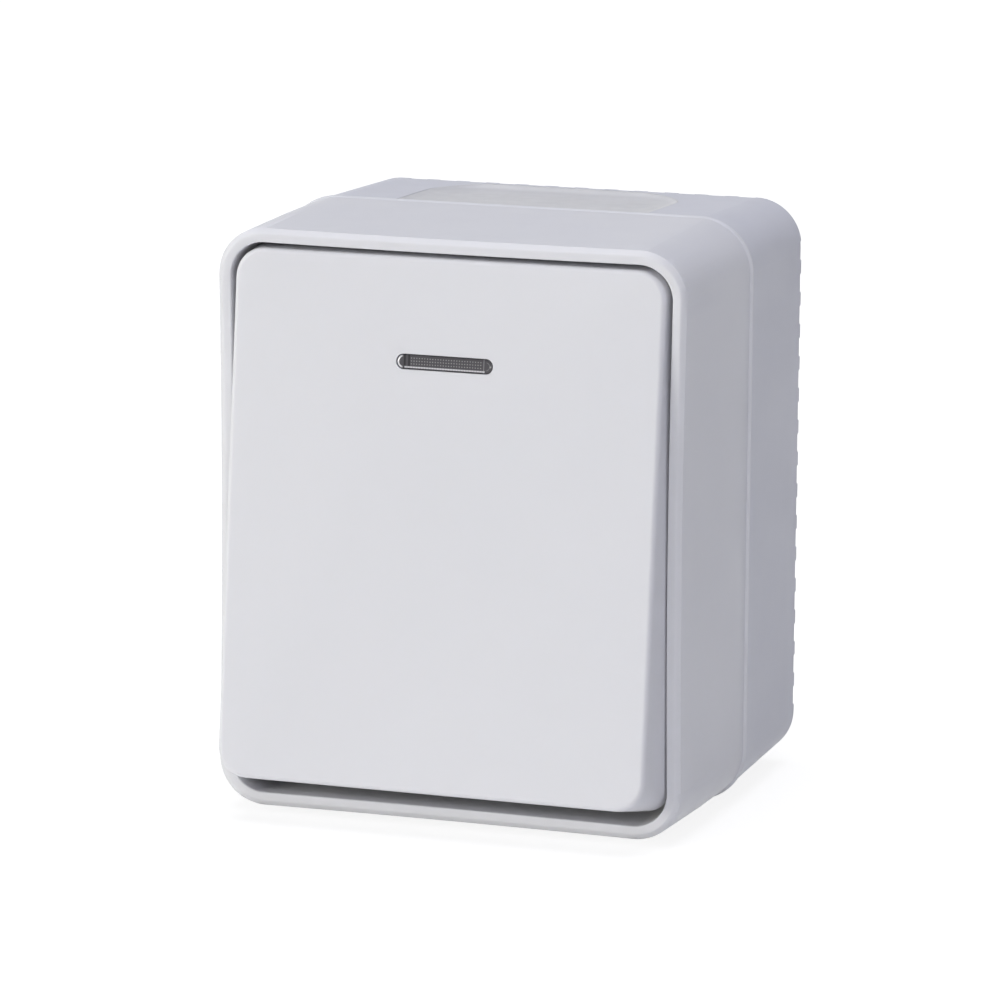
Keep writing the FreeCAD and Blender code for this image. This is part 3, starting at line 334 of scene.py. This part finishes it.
# Clear or tinted moulding: glassy with soft ripples; shadow rays go straight through it.
def clearPlastic(name, s):
    material, tree, shader, place = newMaterial(name)
    shader.inputs["Base Color"].default_value = (*s["colour"], 1)
    shader.inputs["Roughness"].default_value = s["rough"]
    shader.inputs["IOR"].default_value = s["ior"]
    shader.inputs["Transmission Weight"].default_value = 1.0
    ripple = addNoise(tree, place, s["rippleSize"], 1.0)
    addBump(tree, shader, [(ripple, s["rippleDepth"])])
    path = tree.nodes.new("ShaderNodeLightPath")
    through = tree.nodes.new("ShaderNodeBsdfTransparent")
    through.inputs["Color"].default_value = (*s["shadow"], 1)
    mix = tree.nodes.new("ShaderNodeMixShader")
    out = tree.nodes["Material Output"]
    tree.links.new(path.outputs["Is Shadow Ray"], mix.inputs[0])
    tree.links.new(shader.outputs[0], mix.inputs[1])
    tree.links.new(through.outputs[0], mix.inputs[2])
    tree.links.new(mix.outputs[0], out.inputs["Surface"])
    return material


guidePlastic = dict(colour=(0.9, 0.91, 0.92), shadow=(0.8, 0.8, 0.8), rough=0.08, ior=1.49,
                    rippleSize=1.5 * mm, rippleDepth=0.002 * mm)
lampGlass = dict(guidePlastic, colour=(0.95, 0.62, 0.42), rough=0.02, ior=1.52)


# Lacquered resistor: rings of colour across its length.
def bandedBody(name, s):
    material, tree, shader, place = newMaterial(name)
    parts = tree.nodes.new("ShaderNodeSeparateXYZ")
    tree.links.new(place, parts.inputs[0])
    low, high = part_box("lamp_resistor")
    share = addMap(tree, parts.outputs["X"], (low.x, high.x, 0, 1))
    ramp = tree.nodes.new("ShaderNodeValToRGB")
    ramp.color_ramp.interpolation = "CONSTANT"
    ramp.color_ramp.elements[0].color = (*s["lacquer"], 1)
    ramp.color_ramp.elements[1].position = s["lastStart"]
    ramp.color_ramp.elements[1].color = (*s["lacquer"], 1)
    for start, colour in s["bands"]:
        ramp.color_ramp.elements.new(start).color = (*colour, 1)
        ramp.color_ramp.elements.new(start + s["bandWidth"]).color = (*s["lacquer"], 1)
    tree.links.new(share, ramp.inputs["Fac"])
    tree.links.new(ramp.outputs["Color"], shader.inputs["Base Color"])
    shader.inputs["Roughness"].default_value = s["rough"]
    addBump(tree, shader, [(addNoise(tree, place, s["grainSize"]), s["grainDepth"])])
    return material


# Each band has its start and colour; starts and widths are shares of the resistor's length.
resistorBands = dict(
    lacquer=(0.55, 0.42, 0.25), bandWidth=0.09, lastStart=0.98,
    bands=(
        (0.2, (0.3, 0.1, 0.03)),
        (0.36, (0.02, 0.02, 0.02)),
        (0.52, (0.6, 0.35, 0.03)),
        (0.75, (0.5, 0.38, 0.12)),
    ),
    rough=0.35, grainSize=0.4 * mm, grainDepth=0.01 * mm,
)

finishes = {
    "rear_box": mouldedPlastic("housingPlastic", boxPlastic),
    "cover_frame": mouldedPlastic("framePlastic", whitePlastic),
    "rocker_key": mouldedPlastic("keyPlastic", keyPlastic),
    "seal": mouldedPlastic("sealRubber", sealRubber),
    "gasket": mouldedPlastic("gasketRubber", darkRubber),
    "paleInsulation": mouldedPlastic("bearingPlastic", paleInsulation),
    "greyInsulation": mouldedPlastic("tubPlastic", greyInsulation),
    "actuator": mouldedPlastic("actuatorPlastic", actuatorPlastic),
    "plunger": mouldedPlastic("plungerPlastic", ivoryPlastic),
    "steel": rolledMetal("platedSteel", steel),
    "copper": rolledMetal("railCopper", copper),
    "silver": rolledMetal("contactSilver", silver),
    "brass": rolledMetal("clampBrass", brass),
    "wire": rolledMetal("tinnedWire", wire),
    "guide": clearPlastic("guidePlastic", guidePlastic),
    "lamp": clearPlastic("lampGlass", lampGlass),
    "resistor": bandedBody("resistorLacquer", resistorBands),
}
worn = {
    "rear_box": ("rear_box",),
    "cover_frame": ("cover_frame",),
    "rocker_key": ("rocker_key",),
    "seal": ("top_cable_seal", "bottom_cable_seal"),
    "gasket": ("frame_gasket", "mechanism_seal"),
    "paleInsulation": ("mechanism_cover", "lamp_holder"),
    "greyInsulation": ("mechanism_base",),
    "actuator": ("actuator",),
    "plunger": ("plunger",),
    "steel": ("cover_screws", "mechanism_screws", "terminal_screws", "plunger_spring"),
    "copper": ("upper_fixed_contact", "lower_fixed_contact", "common_contact", "contact_rocker"),
    "silver": ("fixed_contact_rivets", "moving_contact_rivets"),
    "brass": ("terminal_clamps",),
    "wire": ("lamp_leads",),
    "guide": ("light_guide",),
    "lamp": ("indicator_lamp",),
    "resistor": ("lamp_resistor",),
}
for finish, wearers in worn.items():
    for name in wearers:
        nodes[name].data.materials.clear()
        nodes[name].data.materials.append(finishes[finish])
print("finishes put on", sum(len(wearers) for wearers in worn.values()), "pieces")

weld = 1e-7  # points closer than this are one, in metres
slack = 1e-6  # a point this far past a line still counts as on it


# A copy of a node's mesh, turned if need be, with extra edges where planes at the given places cut it.
def fineCopy(node, name, cuts, turn=Matrix()):
    mesh = bmesh.new()
    mesh.from_mesh(nodes[node].data)
    bmesh.ops.remove_doubles(mesh, verts=mesh.verts, dist=weld)
    bmesh.ops.transform(mesh, matrix=turn, verts=mesh.verts)
    for axis, places in enumerate(cuts):
        normal = [0, 0, 0]
        normal[axis] = 1
        for place in places:
            point = [0, 0, 0]
            point[axis] = place
            parts = mesh.verts[:] + mesh.edges[:] + mesh.faces[:]
            bmesh.ops.bisect_plane(mesh, geom=parts, dist=weld, plane_co=point, plane_no=normal)
    data = bpy.data.meshes.new(name)
    mesh.to_mesh(data)
    mesh.free()
    return data


def readPoints(data):
    flat = np.empty(len(data.vertices) * 3)
    data.vertices.foreach_get("co", flat)
    return flat.reshape(-1, 3)


# A smooth object from the mesh with its points moved, which takes a node's place on its body.
def placePiece(name, data, points, node, body, material, sharp):
    data.vertices.foreach_set("co", points.ravel())
    data.update()
    data.shade_smooth()
    data.set_sharp_from_angle(angle=math.radians(sharp))
    piece = bpy.data.objects.new(name, data)
    bpy.context.scene.collection.objects.link(piece)
    data.materials.clear()
    data.materials.append(material)
    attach(piece, body)
    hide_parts(node)
    return piece


# The frame's long sides sag inwards towards the front rim, as thin drafted walls do after moulding.
bowedFrame = dict(
    sideBow=0.46 * mm, topBow=0.2 * mm, flare=0.12 * mm, reach=25 * mm, wallBand=6 * mm,
    lipPlaces=(-12 * mm, -0.62 * mm, -0.56 * mm, -0.30 * mm, -0.12 * mm, 0),
    lipHeights=(0, -0.22 * mm, -0.21 * mm, 0.08 * mm, 0.04 * mm, -0.03 * mm),
    lipFade=0.8, fadePower=12, bevelWidth=0.16 * mm, bevelDepth=0.6 * mm,
    cornerRadius=7.3 * mm, skin=(1.75 * mm, 0.7 * mm), step=2.5 * mm, sharp=18,
)


# Signed distance outside a rectangle with round corners, and the way straight out from it.
def roundedOutline(x, z, halfX, halfZ, radius):
    pastX = np.abs(x) - halfX + radius
    pastZ = np.abs(z) - halfZ + radius
    outX, outZ = np.maximum(pastX, 0), np.maximum(pastZ, 0)
    length = np.hypot(outX, outZ)
    distance = length + np.minimum(np.maximum(pastX, pastZ), 0) - radius
    length = np.maximum(length, 1e-9)  # never nought, as it divides
    return distance, np.sign(x) * outX / length, np.sign(z) * outZ / length


# The sag is a parabola along each side, one at the middle and minus a flare at the ends, times a share that
# falls evenly from one at the rim to nought at the depth where the sides turn straight. The rear edge steps
# out into a lip of the given heights at the given places before the seam, which fades where the outline faces
# up or down. The front bevel is widened inwards by a share that falls evenly to nought at its depth.
def makeFrame(s):
    low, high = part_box("cover_frame")
    across = np.arange(low.x + s["step"], high.x, s["step"])
    upward = np.arange(low.z + s["step"], high.z, s["step"])
    back = (low.y + s["reach"],) + tuple(high.y + place for place in s["lipPlaces"][:-1])
    data = fineCopy("cover_frame", "coverFrame", (across, back, upward))
    p = readPoints(data)
    halfX, halfZ = high.x, high.z
    distance, wayX, wayZ = roundedOutline(p[:, 0], p[:, 2], halfX, halfZ, s["cornerRadius"])
    swell = np.interp(p[:, 1] - high.y, s["lipPlaces"], s["lipHeights"])
    swell *= 1 - s["lipFade"] * np.abs(wayZ) ** s["fadePower"]
    swell -= s["bevelWidth"] * np.clip(1 - (p[:, 1] - low.y) / s["bevelDepth"], 0, 1)
    swell *= distance > -np.interp(p[:, 1], (low.y, high.y), s["skin"])
    p[:, 0] += wayX * swell
    p[:, 2] += wayZ * swell
    share = np.clip(1 - (p[:, 1] - low.y) / s["reach"], 0, 1)
    nearSide = np.clip((np.abs(p[:, 0]) - halfX + s["wallBand"]) / (s["wallBand"] / 2), 0, 1)
    nearTop = np.clip((np.abs(p[:, 2]) - halfZ + s["wallBand"]) / (s["wallBand"] / 2), 0, 1)
    sag = s["sideBow"] * (1 - (p[:, 2] / halfZ) ** 2) - s["flare"]
    sagTop = s["topBow"] * (1 - (p[:, 0] / halfX) ** 2) - s["flare"] / 2
    p[:, 0] -= np.sign(p[:, 0]) * sag * share * nearSide
    p[:, 2] -= np.sign(p[:, 2]) * sagTop * share * nearTop
    finish = finishes["cover_frame"]
    placePiece("coverFrame", data, p, "cover_frame", "case", finish, s["sharp"])


makeFrame(bowedFrame)
print("frame shaped")

# The soft seals: a raised round lip along the rear edge and both ends, and a shallow dish inside it.
softSeal = dict(
    lip=0.62 * mm, endLip=0.22 * mm, lipWidth=0.95 * mm, dish=0.34 * mm, dishWidth=4.0 * mm,
    seam=-25.4 * mm, seamHeight=39.45 * mm, rearDrop=0.575 * mm, seamEase=1.5 * mm,
    cornerRadius=7 * mm, skin=0.5 * mm, step=0.3 * mm, sharp=40,
)


# Height is a bell along the plate's edge, lower towards both ends, less a dish that deepens smoothly with
# distance from that edge. Only the plate's outer skin moves, which stands seamHeight out at the seam and
# rearDrop less at its rear edge.
def makeSeal(s, node, name, up):
    low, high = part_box(node)
    across = np.arange(low.x + s["step"], high.x, s["step"])
    along = np.arange(s["seam"], high.y, s["step"])
    data = fineCopy(node, name, (across, along, ()))
    p = readPoints(data)
    fromSeam = p[:, 1] - s["seam"]
    surface = s["seamHeight"] - s["rearDrop"] * fromSeam / (high.y - s["seam"])
    onSkin = np.abs(np.abs(p[:, 2]) - surface) < s["skin"]
    onSkin &= fromSeam > -slack
    # distance inside a plate with two round rear corners
    r = s["cornerRadius"]
    fromEnd = high.x - np.abs(p[:, 0])
    fromRear = high.y - p[:, 1]
    corner = r - np.hypot(np.maximum(r - fromEnd, 0), np.maximum(r - fromRear, 0))
    inside = np.where((fromEnd < r) & (fromRear < r), corner, np.minimum(fromEnd, fromRear))
    inside = np.maximum(inside, 0)
    bell = np.exp(-2 * (inside / s["lipWidth"]) ** 2)
    t = np.clip(inside / s["dishWidth"], 0, 1)
    lip = np.interp(fromEnd, (0, r), (s["endLip"], s["lip"]))
    height = lip * bell - s["dish"] * t * t * (3 - 2 * t)
    eased = height * np.clip(fromSeam / s["seamEase"], 0, 1)
    p[:, 2] += up * np.where(onSkin, eased, 0)
    placePiece(name, data, p, node, "case", finishes["seal"], s["sharp"])


makeSeal(softSeal, "top_cable_seal", "topCableSeal", 1)
makeSeal(softSeal, "bottom_cable_seal", "bottomCableSeal", -1)
print("seals shaped")


def jointOf(name):
    return next(joint for joint in frame["record"]["behaviour"]["joints"] if joint["name"] == name)


rockerJoint = jointOf("rocker_tilt")
halfTilt = math.radians(rockerJoint["range_deg"][1] / 2)
pivot = Vector(rockerJoint["pos_m"])
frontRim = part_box("cover_frame")[0].y
print("rocker turns about", [round(v, 4) for v in pivot])


# Points of the key's neutral place, turned about its axis to the pose at rest.
def turned(points):
    c, d = math.cos(-halfTilt), math.sin(-halfTilt)
    y = points[:, 1] - pivot.y
    z = points[:, 2] - pivot.z
    return np.column_stack((points[:, 0], pivot.y + y * c - z * d, pivot.z + y * d + z * c))


# The rocker key: its skirt flares from the face's edge and its corners sharpen, so that the gap to the frame
# narrows with depth.
flaredKey = dict(
    flareX=0.27 * mm, flareZ=0.6 * mm, flareDepthX=7.0 * mm, flareDepthZ=9.5 * mm, sharpen=1.3 * mm,
    draft=0.35 * mm, skirt=9.5 * mm, cornerRadius=4.0 * mm,
    wall=1.4 * mm, easing=1.1 * mm, cuts=(0.8 * mm, 1.6 * mm, 3 * mm, 5 * mm, 7 * mm), sharp=30,
)


# Points of the outer skin move outwards in x and in z by a flare that grows evenly with the depth behind the
# face and fades through the wall, so each corner moves as a whole. A corner's arc is then drawn to a smaller
# radius.
def makeKey(s):
    back = Matrix.Translation(pivot) @ Matrix.Rotation(halfTilt, 4, "X") @ Matrix.Translation(-pivot)
    outline = np.array([back @ v.co for v in nodes["rocker_key"].data.vertices])
    faceY = outline[:, 1].min()
    halfX, halfZ = (np.abs(outline[:, i]).max() - s["draft"] for i in (0, 2))
    data = fineCopy("rocker_key", "rockerKey", ((), tuple(faceY + cut for cut in s["cuts"]), ()), back)
    p = readPoints(data)
    deep = p[:, 1] - faceY
    reach = np.clip(deep / s["skirt"], 0, 1)
    taper = s["draft"] * reach
    distance = roundedOutline(p[:, 0], p[:, 2], halfX + taper, halfZ + taper, s["cornerRadius"] + taper)[0]
    skin = np.clip((distance + s["wall"]) / s["easing"], 0, 1)
    past = [np.abs(p[:, axis]) - half + s["cornerRadius"] for axis, half in ((0, halfX), (2, halfZ))]
    inCorner = (past[0] > -slack) & (past[1] > -slack)
    tighter = s["sharpen"] * reach / (s["cornerRadius"] + taper)
    flares = ((s["flareX"], s["flareDepthX"]), (s["flareZ"], s["flareDepthZ"]))
    for axis, beyond, (flare, flareDepth) in zip((0, 2), past, flares):
        outwards = flare * np.clip(deep / flareDepth, 0, 1) * (beyond > -slack)
        outwards += inCorner * tighter * (s["cornerRadius"] + taper - beyond)
        p[:, axis] += np.sign(p[:, axis]) * outwards * skin
    p = turned(p)
    finish = finishes["rocker_key"]
    placePiece("rockerKey", data, p, "rocker_key", "rocker", finish, s["sharp"])


makeKey(flaredKey)
print("key shaped")

# The indicator window: a bar tinted dark as painted shade of the hollow behind it, with rows of fine light
# cells, a painted highlight along its lower edge and round its left end, dark ends and a painted shaded rim.
lensWithPaintedLight = dict(
    halfLength=6.66 * mm, halfHeight=0.965 * mm, edge=0.12 * mm, frontDepth=-3.75 * mm, innerDepth=-1.85 * mm,
    flange=1.0 * mm, flangeThickness=0.8 * mm, windowZ=21.51 * mm, faceShare=0.45, steps=24, sharp=50,
    # The body tone is painted shade of the dark hollow behind the window; the tone of the lower line and left
    # crescent is a painted highlight.
    body=(0.070, 0.066, 0.074), cell=(0.23, 0.225, 0.235),
    paintedHighlight=(0.72, 0.71, 0.74), dark=(0.026, 0.024, 0.028), rough=0.16, ior=1.49,
    cellPitch=0.37 * mm, cellRow=0.38 * mm, cellRows=3, cellRowStart=0.50 * mm, cellSize=0.075 * mm,
    cellMargin=0.2 * mm, cellHeight=0.01 * mm, rowSoft=0.1, soft=0.05 * mm,
    bands=(-5.55 * mm, -4.95 * mm), bandWidth=0.17 * mm, lineRight=5.35 * mm, lineWidth=0.14 * mm,
    paintedHighlightLine=(-0.82 * mm, -0.58 * mm), paintedHighlightEnd=5.6 * mm, dash=0.12 * mm, dashShare=0.35,
    crescent=(0.62 * mm, 0.88 * mm), crescentEnd=-5.75 * mm, crescentSoft=0.3 * mm,
    ring=(0.45 * mm, 0.60 * mm), ringStart=5.7 * mm, ringSoft=0.2 * mm, ringShare=0.6,
    outline=0.92 * mm, beyond=10 * mm,
)


# Window cells by plain arithmetic on place: u runs along the bar and v across it, both from its middle.
def lensMaterial(s):
    material, tree, shader, place = newMaterial("lensWithPaintedLight")

    def link(value, socket):
        if isinstance(value, (int, float)):
            socket.default_value = value
        else:
            tree.links.new(value, socket)

    def calc(operation, first, second=0.0, third=0.0):
        node = tree.nodes.new("ShaderNodeMath")
        node.operation = operation
        for value, socket in zip((first, second, third), node.inputs):
            link(value, socket)
        return node.outputs[0]

    def within(value, low, high, soft=s["soft"]):
        rise = calc("DIVIDE", calc("SUBTRACT", value, low), soft)
        fall = calc("DIVIDE", calc("SUBTRACT", high, value), soft)
        return calc("MINIMUM", calc("MAXIMUM", calc("MINIMUM", rise, fall), 0.0), 1.0)

    def radius(first, second):
        return calc("SQRT", calc("ADD", calc("MULTIPLY", first, first), calc("MULTIPLY", second, second)))

    parts = tree.nodes.new("ShaderNodeSeparateXYZ")
    tree.links.new(place, parts.inputs[0])
    u = parts.outputs["X"]
    middle = turned(np.array([[0, frontRim + s["frontDepth"], s["windowZ"]]]))[0]
    v = calc("ADD", calc("MULTIPLY", calc("SUBTRACT", parts.outputs["Y"], middle[1]), -math.sin(-halfTilt)),
             calc("MULTIPLY", calc("SUBTRACT", parts.outputs["Z"], middle[2]), math.cos(halfTilt)))
    beyond = s["beyond"]
    pastEnd = calc("MAXIMUM", calc("SUBTRACT", calc("ABSOLUTE", u), s["halfLength"] - s["halfHeight"]), 0.0)
    spine = radius(pastEnd, v)
    column = calc("SUBTRACT", calc("FRACT", calc("DIVIDE", u, s["cellPitch"])), 0.5)
    column = calc("MULTIPLY", column, s["cellPitch"])
    row = calc("DIVIDE", calc("SUBTRACT", s["cellRowStart"], v), s["cellRow"])
    nearRow = calc("MULTIPLY", calc("SUBTRACT", row, calc("ROUND", row)), s["cellRow"])
    inRows = within(row, -0.5, s["cellRows"] - 0.5, s["rowSoft"])
    inColumns = within(u, s["bands"][1] + s["cellMargin"], s["lineRight"] - s["cellMargin"])
    cell = within(radius(column, nearRow), -beyond, s["cellSize"] + s["soft"] / 2)
    cell = calc("MULTIPLY", calc("MULTIPLY", cell, inRows), inColumns)
    dash = within(calc("ABSOLUTE", column), 0.0, s["dash"])
    lower = calc("MULTIPLY_ADD", dash, s["dashShare"], 1 - s["dashShare"])
    lower = calc("MULTIPLY", within(v, *s["paintedHighlightLine"]), lower)
    lower = calc("MULTIPLY", lower, within(u, -s["paintedHighlightEnd"], s["paintedHighlightEnd"]))
    leftEnd = within(u, -beyond, s["crescentEnd"], s["crescentSoft"])
    crescent = calc("MULTIPLY", within(spine, *s["crescent"]), leftEnd)
    rightEnd = within(u, s["ringStart"], beyond, s["ringSoft"])
    ring = calc("MULTIPLY", within(spine, *s["ring"]), rightEnd)
    # The lower line and the left crescent are painted highlights; the dark ring past the outline radius is
    # painted shade of the gap round the window.
    layers = [(cell, "cell"), (within(u, s["lineRight"], s["lineRight"] + s["lineWidth"]), "cell")]
    layers += [(within(u, band - s["bandWidth"], band + s["bandWidth"]), "dark") for band in s["bands"]]
    layers += [(lower, "paintedHighlight"), (crescent, "paintedHighlight"), (calc("MULTIPLY", ring, s["ringShare"]), "cell")]
    layers += [(within(spine, s["outline"], beyond), "dark")]
    colour = s["body"]
    for share, tone in layers:
        colour = addMix(tree, share, colour, s[tone])
    tree.links.new(colour, shader.inputs["Base Color"])
    shader.inputs["Roughness"].default_value = s["rough"]
    shader.inputs["IOR"].default_value = s["ior"]
    addBump(tree, shader, [(cell, s["cellHeight"])])
    return material


# Rings of a round-ended outline, each at its own offset and depth, joined into a closed bar with a flange.
def makeLens(s):
    steps = s["steps"]
    halfTurn = np.linspace(-math.pi / 2, math.pi / 2, steps)
    angle = np.concatenate([halfTurn, halfTurn + math.pi])
    shift = np.concatenate([np.full(steps, 1.0), np.full(steps, -1.0)]) * (s["halfLength"] - s["halfHeight"])
    half, front, inner = s["halfHeight"], s["frontDepth"], s["innerDepth"]
    rings = (
        (s["faceShare"] * half, front),
        (half - s["edge"], front),
        (half, front + s["edge"]),
        (half, inner),
        (half + s["flange"], inner),
        (half + s["flange"], inner + s["flangeThickness"]),
    )
    points = []
    for radius, deep in rings:
        points.append(np.column_stack((shift + radius * np.cos(angle), np.full(2 * steps, frontRim + deep),
                                       s["windowZ"] + radius * np.sin(angle))))
    count = 2 * steps
    faces = []
    for ring in range(len(rings) - 1):
        for i in range(count):
            j = (i + 1) % count
            faces.append((ring * count + i, ring * count + j, (ring + 1) * count + j, (ring + 1) * count + i))
    faces.append(tuple(reversed(range(count))))
    faces.append(tuple(range((len(rings) - 1) * count, len(rings) * count)))
    data = bpy.data.meshes.new("indicatorWindow")
    p = turned(np.concatenate(points))
    data.from_pydata(p.tolist(), [], faces)
    finish = lensMaterial(s)
    placePiece("indicatorWindow", data, p, "indicator_lens", "rocker", finish, s["sharp"])


makeLens(lensWithPaintedLight)
print("window made")


# The plunger's spring, which shortens towards its front end as the plunger slides in, here as a smooth-shaded
# copy of its mesh on the rocker's body.
def makeSpring(sharp=40):
    data = fineCopy("plunger_spring", "plungerSpring", ())
    p = readPoints(data)
    finish = finishes["steel"]
    spring = placePiece("plungerSpring", data, p, "plunger_spring", "rocker", finish, sharp)
    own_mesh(spring)


makeSpring()
print("spring made")
